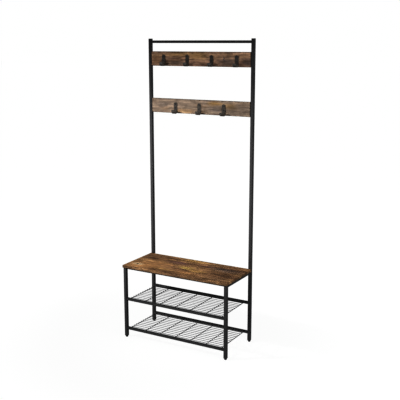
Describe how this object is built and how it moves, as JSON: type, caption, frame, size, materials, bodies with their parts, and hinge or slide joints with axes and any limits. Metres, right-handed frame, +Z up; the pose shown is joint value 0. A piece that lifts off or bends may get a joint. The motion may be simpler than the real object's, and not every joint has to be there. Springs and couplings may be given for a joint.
{
  "type": "hall tree with bench and hooks",
  "caption": "Free-standing hall tree: a wooden shoe bench over wire shelves, with a tall tube frame at the back that carries hook boards.",
  "frame": {"origin": "on the floor, in the middle of the overall width and of the overall depth", "axes": "+X to the right as seen from the front, +Y towards the back frame, +Z up"},
  "size_m": [0.7258, 0.337, 1.83],
  "materials": {
    "black_plastic": "matte",
    "zinc_steel": "satin",
    "black_fastener": "satin",
    "hook_paint": "satin",
    "wire_coat": "satin",
    "seat_wood": "satin",
    "upper_board_wood": "satin",
    "lower_board_wood": "satin",
    "powder_coat": "satin"
  },
  "bodies": {
    "frame": {"bench_seat": "seat_wood", "board_bracket_lower_left": "powder_coat", "board_bracket_lower_right": "powder_coat", "board_bracket_upper_left": "powder_coat", "board_bracket_upper_right": "powder_coat", "bracket_screws": "black_fastener", "coat_hook_lower_1": "hook_paint", "coat_hook_lower_2": "hook_paint", "coat_hook_lower_3": "hook_paint", "coat_hook_upper_1": "hook_paint", "coat_hook_upper_2": "hook_paint", "coat_hook_upper_3": "hook_paint", "coat_hook_upper_4": "hook_paint", "crossbar_bolts": "black_fastener", "crossbar_end_inserts": "zinc_steel", "foot_plugs": "black_plastic", "front_leg_left": "powder_coat", "front_leg_right": "powder_coat", "hook_board_lower": "lower_board_wood", "hook_board_upper": "upper_board_wood", "hook_screws": "black_fastener", "post_cap_left": "black_plastic", "post_cap_right": "black_plastic", "rear_post_left": "powder_coat", "rear_post_right": "powder_coat", "seat_bolts": "black_fastener", "seat_end_inserts": "zinc_steel", "seat_rail_front": "powder_coat", "seat_rail_left": "powder_coat", "seat_rail_rear": "powder_coat", "seat_rail_right": "powder_coat", "seat_screws": "black_fastener", "shelf_bolts": "black_fastener", "shelf_end_inserts": "zinc_steel", "shelf_mesh_lower": "wire_coat", "shelf_mesh_upper": "wire_coat", "shelf_rail_lower_front": "powder_coat", "shelf_rail_lower_rear": "powder_coat", "shelf_rail_upper_front": "powder_coat", "shelf_rail_upper_rear": "powder_coat", "top_crossbar": "powder_coat"},
    "foot_front_left": {"foot_pad_front_left": "black_plastic", "foot_stud_front_left": "zinc_steel"},
    "foot_front_right": {"foot_pad_front_right": "black_plastic", "foot_stud_front_right": "zinc_steel"},
    "foot_rear_left": {"foot_pad_rear_left": "black_plastic", "foot_stud_rear_left": "zinc_steel"},
    "foot_rear_right": {"foot_pad_rear_right": "black_plastic", "foot_stud_rear_right": "zinc_steel"}
  },
  "joints": [
    {"name": "level_front_left", "type": "slide", "parent": "frame", "child": "foot_front_left", "axis": [0, 0, -1], "range_m": [0, 0.008]},
    {"name": "level_front_right", "type": "slide", "parent": "frame", "child": "foot_front_right", "axis": [0, 0, -1], "range_m": [0, 0.008]},
    {"name": "level_rear_left", "type": "slide", "parent": "frame", "child": "foot_rear_left", "axis": [0, 0, -1], "range_m": [0, 0.008]},
    {"name": "level_rear_right", "type": "slide", "parent": "frame", "child": "foot_rear_right", "axis": [0, 0, -1], "range_m": [0, 0.008]}
  ]
}
